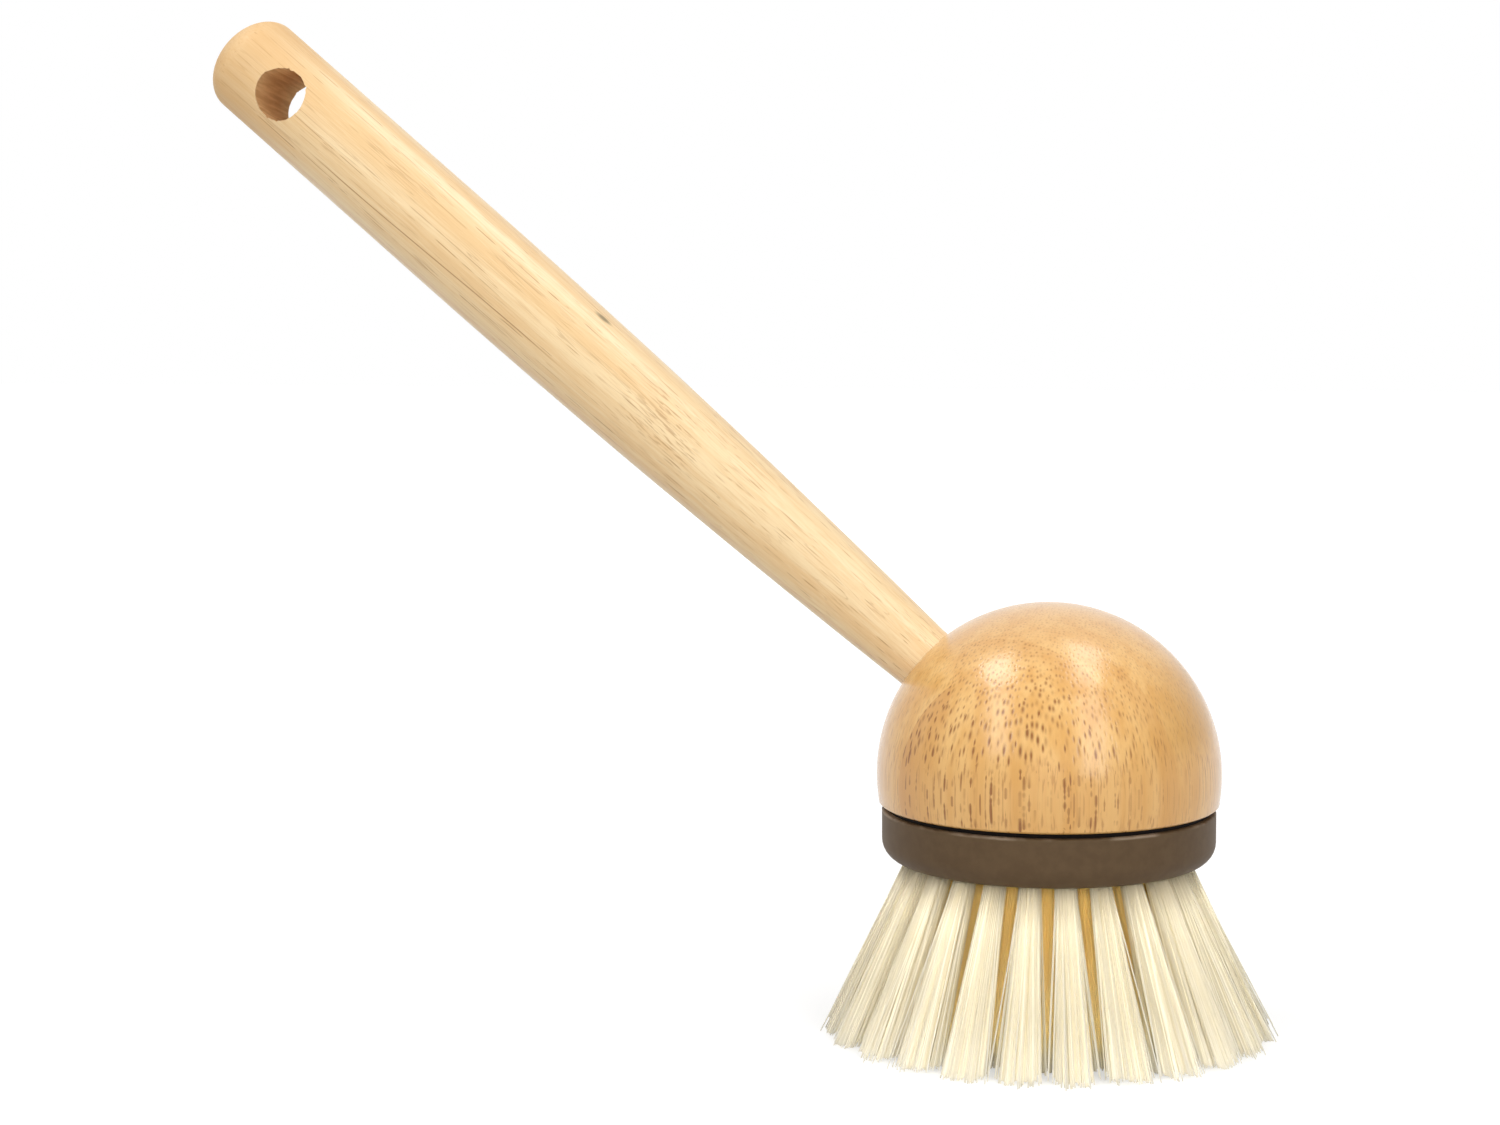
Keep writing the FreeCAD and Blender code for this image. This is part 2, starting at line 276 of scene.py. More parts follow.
def bamboo_group():
    """Grain that both bamboo pieces share: fine fibres and dark bundles that run along Z."""
    group = bpy.data.node_groups.new("bamboo_grain", "ShaderNodeTree")
    face = group.interface
    face.new_socket("Vector", in_out="INPUT", socket_type="NodeSocketVector")
    for name in ("Bundle Spacing", "Bundle Size", "Waver", "Break", "Break Length"):
        face.new_socket(name, in_out="INPUT", socket_type="NodeSocketFloat")
    for name in ("Fibre", "Bundle", "Tone", "Chance"):
        face.new_socket(name, in_out="OUTPUT", socket_type="NodeSocketFloat")
    source = group.nodes.new("NodeGroupInput")
    sink = group.nodes.new("NodeGroupOutput")
    vector = source.outputs["Vector"]
    # the bundles wander a little sideways along their length
    drift = noise(group, vector, (90, 90, 28), 2.0)["Color"]
    drift = vector_maths(group, "SUBTRACT", {0: drift, 1: (0.5, 0.5, 0.5)})["Vector"]
    drift = vector_maths(group, "SCALE", {0: drift, "Scale": source.outputs["Waver"]})["Vector"]
    wandered = vector_maths(group, "ADD", {0: vector, 1: drift})["Vector"]
    per_metre = maths(group, "DIVIDE", 1.0, source.outputs["Bundle Spacing"])
    cells = add(
        group,
        "ShaderNodeTexVoronoi",
        {"Vector": wandered, "Scale": per_metre, "Randomness": 0.85},
        voronoi_dimensions="2D",
    )
    chance, second_chance, _ = add(group, "ShaderNodeSeparateColor", {0: cells.outputs["Color"]}).outputs
    own_size = maths(group, "MULTIPLY_ADD", second_chance, 0.7, 0.65)
    own_size = maths(group, "MULTIPLY", own_size, source.outputs["Bundle Size"])
    # a cut that runs almost along the fibres shows only lengths of each bundle, pointed at both ends
    own_start = maths(group, "MULTIPLY", chance, 57.0)
    along = add(group, "ShaderNodeSeparateXYZ", {0: vector}).outputs[2]
    pulse = maths(group, "DIVIDE", along, source.outputs["Break Length"])
    pulse = maths(group, "ADD", own_start, pulse)
    pulse = add(group, "ShaderNodeTexNoise", {"W": pulse, "Scale": 1.0}, noise_dimensions="1D")
    lost = span(group, pulse.outputs["Fac"], 0.38, 0.58, 0.98, 0.0)
    lost = maths(group, "MULTIPLY", source.outputs["Break"], lost)
    own_size = maths(group, "MULTIPLY", own_size, maths(group, "SUBTRACT", 1.0, lost))
    reach = maths(group, "DIVIDE", cells.outputs["Distance"], own_size)
    sheath = span(group, reach, 0.8, 1.5, 0.35, 0.0)
    core = span(group, reach, 0.2, 1.0, 0.65, 0.0)
    bundle = maths(group, "ADD", sheath, core)
    fine = noise(group, wandered, (2600, 2600, 70), 3.0)["Fac"]
    broad = noise(group, wandered, (330, 330, 9), 2.0)["Fac"]
    feed(group, sink, {"Fibre": fine, "Bundle": bundle, "Tone": broad, "Chance": chance})
    return group


bamboo_grain = bamboo_group()


def grain(tree, vector, spacing, size, waver, broken, length):
    """Place the bamboo grain in a material."""
    feeds = {"Vector": vector, "Bundle Spacing": spacing, "Bundle Size": size, "Waver": waver}
    feeds |= {"Break": broken, "Break Length": length}
    return add(tree, "ShaderNodeGroup", feeds, node_tree=bamboo_grain).outputs


STRAW_DEEP = paint(229, 193, 141)
STRAW_LIGHT = paint(238, 211, 165)
STREAK_TAN = paint(224, 186, 132)
HAIR_BROWN = paint(196, 150, 96)
HAIR_PALE = paint(248, 227, 188)
LINE_BROWN = paint(162, 112, 60)
SCAR_BROWN = paint(112, 96, 62)
SCORCH_DARK = paint(186, 136, 84)
SCORCH_LIGHT = paint(238, 194, 138)
END_TAN = paint(214, 170, 114)

handle_bamboo, tree, shader, place = finish_of("handle_bamboo_sanded")
# the grain's own Z runs along the handle
lengthwise = own_axes(tree, place, (0, 0, HANDLE_AIM), HANDLE_TURN)
upward, depth, along = add(tree, "ShaderNodeSeparateXYZ", {0: lengthwise}).outputs
fibres = grain(tree, lengthwise, spacing=0.5 * MM, size=0.19, waver=0.7 * MM, broken=1.0, length=9 * MM)
pale = blend_colour(tree, span(tree, fibres["Tone"], 0.35, 0.65), STRAW_DEEP, STRAW_LIGHT)
pale = blend_colour(tree, span(tree, fibres["Fibre"], 0.42, 0.72, 0.0, 0.4), pale, STREAK_TAN)
hairs = noise(tree, lengthwise, (4600, 4600, 190), 2.0)["Fac"]
pale = blend_colour(tree, span(tree, hairs, 0.52, 0.72, 0.0, 0.2), pale, HAIR_BROWN)
pale = blend_colour(tree, span(tree, hairs, 0.3, 0.48, 0.2, 0.0), pale, HAIR_PALE)
lines = maths(tree, "MULTIPLY", fibres["Bundle"], span(tree, fibres["Chance"], 0.2, 1.0))
# single fibres stand out as thin lines in patches
patches = noise(tree, lengthwise, (190, 190, 75), 2.0)["Fac"]
thin = noise(tree, lengthwise, (1300, 1300, 36), 1.0)["Fac"]
thin = maths(tree, "ABSOLUTE", maths(tree, "SUBTRACT", thin, 0.5))
thin = span(tree, thin, 0.003, 0.02, 0.4, 0.0)
lines = maths(tree, "MAXIMUM", lines, maths(tree, "MULTIPLY", thin, span(tree, patches, 0.4, 0.6)))
# a node of the cane: short torn fibres on the side that faces the front and up
turn = maths(tree, "ARCTAN2", upward, maths(tree, "MULTIPLY", depth, -1.0))
node_place = maths(tree, "MULTIPLY_ADD", patches, CANE_NODE_WAVER, along)
node_band = band(tree, node_place, *CANE_NODE_ALONG)
node_band = maths(tree, "MULTIPLY", node_band, band(tree, turn, *CANE_NODE_ROUND))
torn_fibres = noise(tree, lengthwise, (3600, 3600, 330), 1.0, turn=(0, 0.12, 0))["Fac"]
torn_lines = maths(tree, "MULTIPLY", node_band, span(tree, torn_fibres, 0.55, 0.65, 0.0, 0.6))
lines = maths(tree, "MAXIMUM", lines, torn_lines)
# one glue line between two canes
glue_turn = span(tree, along, *GLUE_LINE_BEND, *GLUE_LINE_TURNS)
off_line = maths(tree, "ABSOLUTE", maths(tree, "SUBTRACT", turn, glue_turn))
glue_line = span(tree, off_line, 0.006, 0.018, 0.9, 0.0)
glue_line = maths(tree, "MULTIPLY", glue_line, band(tree, along, *GLUE_LINE_ALONG))
lines = maths(tree, "MAXIMUM", lines, glue_line)
pale = blend_colour(tree, maths(tree, "MULTIPLY", lines, 0.85), pale, LINE_BROWN)
# a small dark scar on the upper side
scar_place = vector_maths(tree, "SUBTRACT", {0: lengthwise, 1: SCAR_PLACE})["Vector"]
scar_place = vector_maths(tree, "MULTIPLY", {0: scar_place, 1: SCAR_SHAPE})["Vector"]
from_scar = vector_maths(tree, "LENGTH", {0: scar_place})["Value"]
scar = span(tree, from_scar, SCAR_CORE, SCAR_EDGE, 0.8, 0.0)
scar = maths(tree, "MULTIPLY", scar, span(tree, torn_fibres, 0.2, 0.45))
pale = blend_colour(tree, scar, pale, SCAR_BROWN)
# the drilled wall of the hole is scorched
hole_place = own_axes(tree, lengthwise, (0, 0, HANDLE_END - HOLE_INSET), (0, 0, HOLE_TURN))
hole_across, _, hole_along = add(tree, "ShaderNodeSeparateXYZ", {0: hole_place}).outputs
near_hole = maths(tree, "LESS_THAN", off_axis(tree, hole_across, hole_along), HOLE_RADIUS + SCORCH_REACH)
from_axis = off_axis(tree, upward, depth)
scorch = span(tree, from_axis, GRIP_RADIUS - SCORCH_FULL_DEPTH, GRIP_RADIUS - SCORCH_START_DEPTH, 1.0, 0.0)
scorch = maths(tree, "MULTIPLY", scorch, near_hole)
flutes = noise(tree, hole_place, (1500, 110, 1500), 3.0)["Fac"]
wall = blend_colour(tree, span(tree, flutes, 0.35, 0.65), SCORCH_DARK, SCORCH_LIGHT)
pale = blend_colour(tree, maths(tree, "MULTIPLY", scorch, 0.9), pale, wall)
# towards its end the handle is cut across the fibres, so it is darker and duller there
end_grain = span(tree, along, HANDLE_END - END_TINT_LENGTH, HANDLE_END - END_TINT_FULL, 0.0, 0.65)
pale = blend_colour(tree, end_grain, pale, END_TAN)
rough = maths(tree, "MULTIPLY_ADD", end_grain, 0.4, span(tree, hairs, 0.3, 0.7, 0.28, 0.42))
rough = maths(tree, "MAXIMUM", rough, scorch)
# hand sanding leaves the surface slightly wavy
waves = noise(tree, lengthwise, (520, 520, 130), 2.0)["Fac"]
dents = maths(tree, "SUBTRACT", maths(tree, "MULTIPLY", hairs, -0.8), lines)
dents = maths(tree, "MULTIPLY_ADD", waves, 4.0, dents)
bump = relief(tree, dents, 0.35, 0.05 * MM)
feed(tree, shader, {"Base Color": pale, "Roughness": rough, "Specular IOR Level": 0.55, "Normal": bump})
handle.data.materials.append(handle_bamboo)
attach(handle, "handle_and_dome")
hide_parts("handle")

# Dome: a ball turned from a block of bamboo strips glued side by side, then lacquered.
# The strips stand upright, so their bundles show as dots on top and as pointed dashes round the foot.
DOME_CENTRE = 45.85 * MM
DOME_BASE = 40.5 * MM
DOME_EDGE_ROUND = 1.2 * MM
GLUE_GAP = 0.05 * MM
INSERT_RADIUS = 11.5 * MM
INSERT_FLANGE_RADIUS = 15.0 * MM
INSERT_FLANGE_THICKNESS = 1.5 * MM
INSERT_TOP = 50.7 * MM
BORE_LENGTH = 20 * MM
CUT_OVERRUN = 3 * MM
TURNED_SIDES = 96
FOOT_FULL = 49 * MM
FOOT_END = 56 * MM
DASH_LENGTH = 3.4 * MM
BUNDLE_GROWTH = 16
LEFT_JOINT = -12.8 * MM
RIGHT_JOINT = 14.5 * MM
JOINT_WIDTH = 0.05 * MM
FACE_EDGE = 0.03 * MM
SKIN_DEPTH = 6 * MM
DARK_BUNDLE_DEPTH = 7 * MM
RIGHT_SHADE_START = 17 * MM
RIGHT_SHADE_FULL = 27 * MM
TOP_HAZE_START = 66 * MM
TOP_HAZE_FULL = 75 * MM
BOLD_DOTS_FULL = -28 * MM
BOLD_DOTS_END = -19 * MM
# how far forward the strips' outer faces lie, from left to right
STRIP_FACES = [
    (-DOME_RADIUS, -20.4 * MM),
    (LEFT_JOINT - JOINT_WIDTH, -20.4 * MM),
    (LEFT_JOINT, -13.2 * MM),
    (RIGHT_JOINT, -20.6 * MM),
    (RIGHT_JOINT + JOINT_WIDTH, -15.5 * MM),
    (DOME_RADIUS, -17 * MM),
]

deselect()
bpy.ops.mesh.primitive_uv_sphere_add(
    segments=192, ring_count=96, radius=DOME_RADIUS, location=(0, 0, DOME_CENTRE)
)
dome = bpy.context.object
dome.name = "bamboo_dome"
bpy.ops.object.transform_apply(location=True, rotation=True, scale=True)
bpy.ops.object.mode_set(mode="EDIT")
bpy.ops.mesh.select_all(action="SELECT")
bpy.ops.mesh.bisect(plane_co=(0, 0, DOME_BASE), plane_no=(0, 0, 1), use_fill=True, clear_inner=True)
bpy.ops.mesh.select_all(action="DESELECT")
bpy.ops.object.mode_set(mode="OBJECT")
for edge in dome.data.edges:
    heights = [dome.data.vertices[v].co.z for v in edge.vertices]
    edge.select = max(abs(height - DOME_BASE) for height in heights) < MM / 1000
bpy.ops.object.mode_set(mode="EDIT")
bpy.ops.mesh.select_mode(type="EDGE")
bpy.ops.mesh.bevel(offset=DOME_EDGE_ROUND, offset_type="WIDTH", segments=6, affect="EDGES")
bpy.ops.object.mode_set(mode="OBJECT")

deselect()
bpy.ops.mesh.primitive_cylinder_add(vertices=TURNED_SIDES, radius=NECK_RADIUS + GLUE_GAP, depth=BORE_LENGTH)
bore = bpy.context.object
bore.rotation_euler = HANDLE_TURN
lean_way = Vector((-math.cos(HANDLE_LEAN), 0, math.sin(HANDLE_LEAN)))
bore.location = Vector((0, 0, HANDLE_AIM)) + lean_way * (TENON_START - GLUE_GAP + BORE_LENGTH / 2)
bpy.context.view_layer.update()
bored(dome, bore)
flange_top = DOME_BASE + INSERT_FLANGE_THICKNESS + GLUE_GAP
recess_outline = [
    (0, DOME_BASE - CUT_OVERRUN),
    (INSERT_FLANGE_RADIUS + GLUE_GAP, DOME_BASE - CUT_OVERRUN),
    (INSERT_FLANGE_RADIUS + GLUE_GAP, flange_top),
    (INSERT_RADIUS + GLUE_GAP, flange_top),
    (INSERT_RADIUS + GLUE_GAP, INSERT_TOP + GLUE_GAP),
    (0, INSERT_TOP + GLUE_GAP),
]
bored(dome, turned("recess", recess_outline, TURNED_SIDES))
smooth(dome, SHARP_EDGE)

CARAMEL_DEEP = paint(218, 164, 88)
CARAMEL_LIGHT = paint(232, 186, 116)
RIGHT_SHADE_TAN = paint(202, 148, 60)
TOP_HAZE_TAN = paint(214, 172, 120)
FOOT_BROWN = paint(196, 140, 70)
SKIN_BROWN = paint(200, 142, 72)
FIBRE_BROWN = paint(200, 144, 78)
DOT_BROWN = paint(142, 88, 30)
FOOT_LINE_BROWN = paint(150, 96, 42)


def speckle(tree, vector, per_metre, detail):
    """Output of an even noise."""
    return noise(tree, vector, (per_metre, per_metre, per_metre), detail)["Fac"]


dome_bamboo, tree, shader, place = finish_of("dome_bamboo_lacquered")
side, forward, height = add(tree, "ShaderNodeSeparateXYZ", {0: place}).outputs
# the bundles lie wider apart towards the front
ahead_of_middle = maths(tree, "MINIMUM", forward, 0.0)
shrink = maths(tree, "MULTIPLY_ADD", ahead_of_middle, BUNDLE_GROWTH, 1.0)
drawn_in = maths(tree, "MULTIPLY", maths(tree, "POWER", ahead_of_middle, 2.0), BUNDLE_GROWTH / 2)
widened = add(
    tree,
    "ShaderNodeCombineXYZ",
    {0: maths(tree, "MULTIPLY", side, shrink), 1: maths(tree, "ADD", forward, drawn_in), 2: height},
).outputs[0]
foot = span(tree, height, FOOT_FULL, FOOT_END, 1.0, 0.0)
coarse = grain(tree, widened, spacing=0.5 * MM, size=0.3, waver=0.25 * MM, broken=foot, length=DASH_LENGTH)
fine = grain(tree, place, spacing=0.8 * MM, size=0.3, waver=0.35 * MM, broken=foot, length=DASH_LENGTH)
# each strip's outer face is found from left to right: one joint left and one right of the middle
side_place = maths(tree, "MULTIPLY_ADD", side, 0.5 / DOME_RADIUS, 0.5)
faces = add(tree, "ShaderNodeValToRGB", {"Fac": side_place})
while len(faces.color_ramp.elements) < len(STRIP_FACES):
    faces.color_ramp.elements.new(0.5)
for element, (x, y) in zip(faces.color_ramp.elements, STRIP_FACES):
    element.position = (x + DOME_RADIUS) / (2 * DOME_RADIUS)
    level = (y + DOME_RADIUS) / (2 * DOME_RADIUS)
    element.color = (level, level, level, 1)
strip_face = add(tree, "ShaderNodeSeparateColor", {0: faces.outputs["Color"]}).outputs[0]
strip_face = maths(tree, "MULTIPLY_ADD", strip_face, 2 * DOME_RADIUS, -DOME_RADIUS)
ahead = maths(tree, "SUBTRACT", strip_face, forward)
front = span(tree, ahead, -FACE_EDGE, FACE_EDGE)
dark_skin = maths(tree, "MULTIPLY", front, span(tree, ahead, 0, SKIN_DEPTH, 1.0, 0.0))
left_strip = maths(tree, "MULTIPLY", front, maths(tree, "LESS_THAN", side, LEFT_JOINT))
ground = blend_colour(tree, span(tree, fine["Tone"], 0.3, 0.7), CARAMEL_DEEP, CARAMEL_LIGHT)
# painted shade: the right side of the dome is painted darker and more olive for the shade on that side,
# less so round the foot
right_shade = span(tree, side, RIGHT_SHADE_START, RIGHT_SHADE_FULL, 0.0, 0.85)
right_shade = maths(tree, "MULTIPLY", right_shade, maths(tree, "SUBTRACT", 1.0, foot))
ground = blend_colour(tree, right_shade, ground, RIGHT_SHADE_TAN)
# painted reflection: the top of the dome is painted paler and less orange, as a haze of reflected light
top_haze = span(tree, height, TOP_HAZE_START, TOP_HAZE_FULL, 0.0, 0.6)
ground = blend_colour(tree, top_haze, ground, TOP_HAZE_TAN)
ground = blend_colour(tree, maths(tree, "MULTIPLY", foot, 0.25), ground, FOOT_BROWN)
skin_share = maths(tree, "MULTIPLY", dark_skin, maths(tree, "MULTIPLY_ADD", left_strip, 0.35, 0.3))
ground = blend_colour(tree, skin_share, ground, SKIN_BROWN)
ground = blend_colour(tree, span(tree, fine["Fibre"], 0.35, 0.75, 0.0, 0.25), ground, FIBRE_BROWN)
# the left strip's bundles are close and dark at its outer face
bundles = maths(tree, "MULTIPLY", coarse["Bundle"], maths(tree, "SUBTRACT", 1.0, left_strip))
bundles = maths(tree, "MULTIPLY_ADD", fine["Bundle"], left_strip, bundles)
strength = span(tree, forward, BOLD_DOTS_FULL, BOLD_DOTS_END, 0.72, 0.3)
strength = maths(tree, "MULTIPLY_ADD", front, 0.15, strength)
at_face = span(tree, ahead, 0, DARK_BUNDLE_DEPTH, 0.8, 0.0)
strength = maths(tree, "MULTIPLY_ADD", left_strip, at_face, strength)
strength = maths(tree, "MULTIPLY", strength, span(tree, coarse["Chance"], 0.0, 1.0, 0.35, 1.3))
ground = blend_colour(tree, maths(tree, "MULTIPLY", bundles, strength), ground, DOT_BROWN)
# round the foot the cut runs along the fibres, so single ones show as long lines
lines = maths(tree, "MULTIPLY", foot, span(tree, fine["Fibre"], 0.55, 0.65))
lines = maths(tree, "MULTIPLY", lines, span(tree, fine["Tone"], 0.35, 0.65, 0.1, 0.5))
ground = blend_colour(tree, lines, ground, FOOT_LINE_BROWN)
# the lacquer flows unevenly over the fibres
flow = maths(tree, "MULTIPLY_ADD", bundles, -1.2, speckle(tree, place, 700, 2.0))
feed(tree, shader, {"Base Color": ground, "Roughness": 0.45, "Specular IOR Level": 0.1})
feed(tree, shader, {"Coat Weight": 1.0, "Coat IOR": 1.53, "Coat Roughness": 0.2})
feed(tree, shader, {"Normal": relief(tree, bundles, 0.25, -0.05 * MM)})
feed(tree, shader, {"Coat Normal": relief(tree, flow, 0.4, 0.03 * MM)})
dome.data.materials.append(dome_bamboo)
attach(dome, "handle_and_dome")
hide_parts("head_dome")

# Threaded insert: a moulded plastic cup with a flange, glued into the dome's base.
# Its coarse thread takes the plate's spigot.
INSERT_BORE_RADIUS = 9.2 * MM
INSERT_BORE_TOP = 49.1 * MM
INSERT_CHAMFER = 0.3 * MM
THREAD_DEPTH = 0.8 * MM
THREAD_PITCH = 3 * MM
THREAD_HALF_ROOT = 0.75 * MM
THREAD_HALF_CREST = 0.35 * MM
THREAD_SINK = 0.1 * MM
THREAD_STEPS = 64
INNER_THREAD_START = DOME_BASE + 1.4 * MM


def thread_ridge(name, wall, crest, foot, turns):
    """Ridge of a right-handed thread: a tapered section, run up round the axis from its foot."""
    deselect()
    bpy.ops.mesh.primitive_plane_add(size=1)
    ridge = bpy.context.object
    ridge.name = name
    section = [(wall, -THREAD_HALF_ROOT), (wall, THREAD_HALF_ROOT)]
    section += [(crest, -THREAD_HALF_CREST), (crest, THREAD_HALF_CREST)]
    for vertex, (radius, height) in zip(ridge.data.vertices, section):
        vertex.co = (radius, 0, foot + height)
    bpy.ops.object.mode_set(mode="EDIT")
    bpy.ops.mesh.select_all(action="SELECT")
    bpy.ops.mesh.delete(type="ONLY_FACE")
    bpy.ops.object.mode_set(mode="OBJECT")
    screw = ridge.modifiers.new("thread", "SCREW")
    screw.angle = 2 * math.pi
    screw.screw_offset = THREAD_PITCH
    screw.iterations = turns
    screw.steps = THREAD_STEPS
    screw.render_steps = THREAD_STEPS
    only(ridge)
    bpy.ops.object.modifier_apply(modifier=screw.name)
    bpy.ops.object.mode_set(mode="EDIT")
    bpy.ops.mesh.select_mode(type="EDGE")
    bpy.ops.mesh.select_all(action="DESELECT")
    bpy.ops.mesh.select_non_manifold()
    bpy.ops.mesh.fill()
    bpy.ops.mesh.select_all(action="SELECT")
    bpy.ops.mesh.normals_make_consistent(inside=False)
    bpy.ops.object.mode_set(mode="OBJECT")
    smooth(ridge, SHARP_EDGE)
    return ridge


def joined(pieces):
    """Join pieces into the first one."""
    deselect()
    for piece in pieces:
        piece.select_set(True)
    bpy.context.view_layer.objects.active = pieces[0]
    bpy.ops.object.join()
    return pieces[0]


insert_outline = [
    (0, INSERT_BORE_TOP),
    (INSERT_BORE_RADIUS, INSERT_BORE_TOP),
    (INSERT_BORE_RADIUS, DOME_BASE + INSERT_CHAMFER),
    (INSERT_BORE_RADIUS + INSERT_CHAMFER, DOME_BASE),
    (INSERT_FLANGE_RADIUS, DOME_BASE),
    (INSERT_FLANGE_RADIUS, DOME_BASE + INSERT_FLANGE_THICKNESS),
    (INSERT_RADIUS, DOME_BASE + INSERT_FLANGE_THICKNESS),
    (INSERT_RADIUS, INSERT_TOP),
    (0, INSERT_TOP),
]
insert = turned("threaded_insert_cup", insert_outline, TURNED_SIDES)
smooth(insert, SHARP_EDGE)
inner_thread = thread_ridge(
    "inner_thread",
    wall=INSERT_BORE_RADIUS + THREAD_SINK,
    crest=INSERT_BORE_RADIUS - THREAD_DEPTH,
    foot=INNER_THREAD_START,
    turns=2,
)
joined([insert, inner_thread])
insert_plastic, tree, shader, place = finish_of("insert_plastic_moulded")
brown = blend_colour(tree, speckle(tree, place, 600, 3.0), paint(84, 70, 55), paint(100, 84, 68))
feed(tree, shader, {"Base Color": brown, "Roughness": 0.5})
insert.data.materials.append(insert_plastic)
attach(insert, "handle_and_dome")
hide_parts("threaded_insert")

# Seal: a flat ring of black rubber that lies in a seat on the plate and meets the dome.
# It shows as the dark line round the head.
SEAL_BOTTOM = 39.2 * MM
SEAL_INNER = 22.0 * MM
SEAL_OUTER = 28.0 * MM
SEAL_ROUND = 0.2 * MM
SEAL_SIDES = 128


def rounded_outline(corners, count):
    """Closed outline of (radius, height, rounding) corners, with an arc at each rounded corner."""
    points = []
    total = len(corners)
    for i, (radius, height, rounding) in enumerate(corners):
        corner = Vector((radius, height))
        if not rounding:
            points.append(corner)
            continue
        back = (Vector(corners[i - 1][:2]) - corner).normalized()
        onward = (Vector(corners[(i + 1) % total][:2]) - corner).normalized()
        half = back.angle(onward) / 2
        centre = corner + (back + onward).normalized() * (rounding / math.sin(half))
        start = corner + back * (rounding / math.tan(half)) - centre
        end = corner + onward * (rounding / math.tan(half)) - centre
        first = math.atan2(start.y, start.x)
        sweep = math.remainder(math.atan2(end.y, end.x) - first, 2 * math.pi)
        for step in range(count + 1):
            angle = first + sweep * step / count
            points.append(centre + Vector((math.cos(angle), math.sin(angle))) * rounding)
    return [tuple(point) for point in points]


seal_corners = [
    (SEAL_INNER, SEAL_BOTTOM, SEAL_ROUND),
    (SEAL_OUTER, SEAL_BOTTOM, SEAL_ROUND),
    (SEAL_OUTER, DOME_BASE, SEAL_ROUND),
    (SEAL_INNER, DOME_BASE, SEAL_ROUND),
]
seal_outline = rounded_outline(seal_corners, 3)
seal = turned("rubber_seal", seal_outline + seal_outline[:1], SEAL_SIDES)
smooth(seal, 50)
seal_rubber, tree, shader, place = finish_of("seal_rubber_black")
dust = span(tree, speckle(tree, place, 900, 4.0), 0.4, 0.8)
black = blend_colour(tree, dust, paint(14, 9, 7), paint(30, 20, 15))
feed(tree, shader, {"Base Color": black, "Roughness": 0.7, "Specular IOR Level": 0.15})
seal.data.materials.append(seal_rubber)
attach(seal, "seal")
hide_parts("sealing_ring")

# Brush plate: one dark brown plastic moulding with a rounded foot and a ragged mould line at its rim.
# A hollow spigot with a coarse thread stands on it, and 61 blind holes below take the tufts.
BRISTLE_LENGTH = 30.8 * MM
PLATE_RADIUS = 29.1 * MM
PLATE_TOP = 39.7 * MM
PLATE_LOWER_ROUND = 3.6 * MM
PLATE_UPPER_ROUND = 0.4 * MM
SEAT_CLEARANCE = 0.1 * MM
SPIGOT_RADIUS = 8.2 * MM
SPIGOT_BORE = 6.0 * MM
SPIGOT_TOP = 48.5 * MM
SPIGOT_CHAMFER = 0.8 * MM
PLATE_STEPS = 288
TUFT_RINGS = ["centre", "inner", "second", "third", "outer"]
TUFTS_PER_STEP = 6
PLATE_SETTING = math.radians(10.4)
RING_PITCH = 5.7 * MM
TIP_SPREAD = 1.56
HOLE_MOUTH_RADIUS = 2.0 * MM
TUFT_HOLE_DEPTH = 6.6 * MM
TUFT_HOLE_SIDES = 20
RIM_FOOT = 2.4 * MM
RIM_MIDDLE = 0.8 * MM
RAGGED_WIDTH = 0.45 * MM
RAGGED_DEPTH = 0.42 * MM
RAGGED_LIFT = 0.05 * MM
RIM_WEAR_AND_HIGHLIGHT_DEPTH = 0.6 * MM
RIM_WEAR_AND_HIGHLIGHT_FULL = 0.2 * MM
OUTER_THREAD_START = DOME_BASE + 2.9 * MM


def tuft_frames(ring):
    """Root, downward direction, outward and sideways directions of every tuft of a ring."""
    count = max(ring * TUFTS_PER_STEP, 1)
    frames = []
    for i in range(count):
        angle = 2 * math.pi * (i + 0.5) / count + PLATE_SETTING
        out = Vector((math.cos(angle), math.sin(angle), 0))
        root = out * ring * RING_PITCH + Vector((0, 0, BRISTLE_LENGTH))
        tip = out * ring * RING_PITCH * TIP_SPREAD
        frames.append((root, (tip - root).normalized(), out, Vector((-out.y, out.x, 0))))
    return frames


outer_ring_radius = (len(TUFT_RINGS) - 1) * RING_PITCH
plate_corners = [
    (0, BRISTLE_LENGTH, 0),
    (outer_ring_radius, BRISTLE_LENGTH, 0),
    (PLATE_RADIUS, BRISTLE_LENGTH, PLATE_LOWER_ROUND),
    (PLATE_RADIUS, PLATE_TOP - RIM_FOOT, 0),
    (PLATE_RADIUS, PLATE_TOP - RIM_MIDDLE, 0),
    (PLATE_RADIUS, PLATE_TOP, PLATE_UPPER_ROUND),
    (SEAL_OUTER + SEAT_CLEARANCE, PLATE_TOP, 0),
    (SEAL_OUTER + SEAT_CLEARANCE, SEAL_BOTTOM, 0),
    (SEAL_INNER - SEAT_CLEARANCE, SEAL_BOTTOM, 0),
    (SEAL_INNER - SEAT_CLEARANCE, PLATE_TOP, 0),
    (SPIGOT_RADIUS, PLATE_TOP, 0),
    (SPIGOT_RADIUS, SPIGOT_TOP - SPIGOT_CHAMFER, 0),
    (SPIGOT_RADIUS - SPIGOT_CHAMFER, SPIGOT_TOP, 0),
    (SPIGOT_BORE, SPIGOT_TOP, 0),
    (SPIGOT_BORE, PLATE_TOP, 0),
    (0, PLATE_TOP, 0),
]
plate = turned("brush_plate_moulding", rounded_outline(plate_corners, 8), PLATE_STEPS)
cutters = []
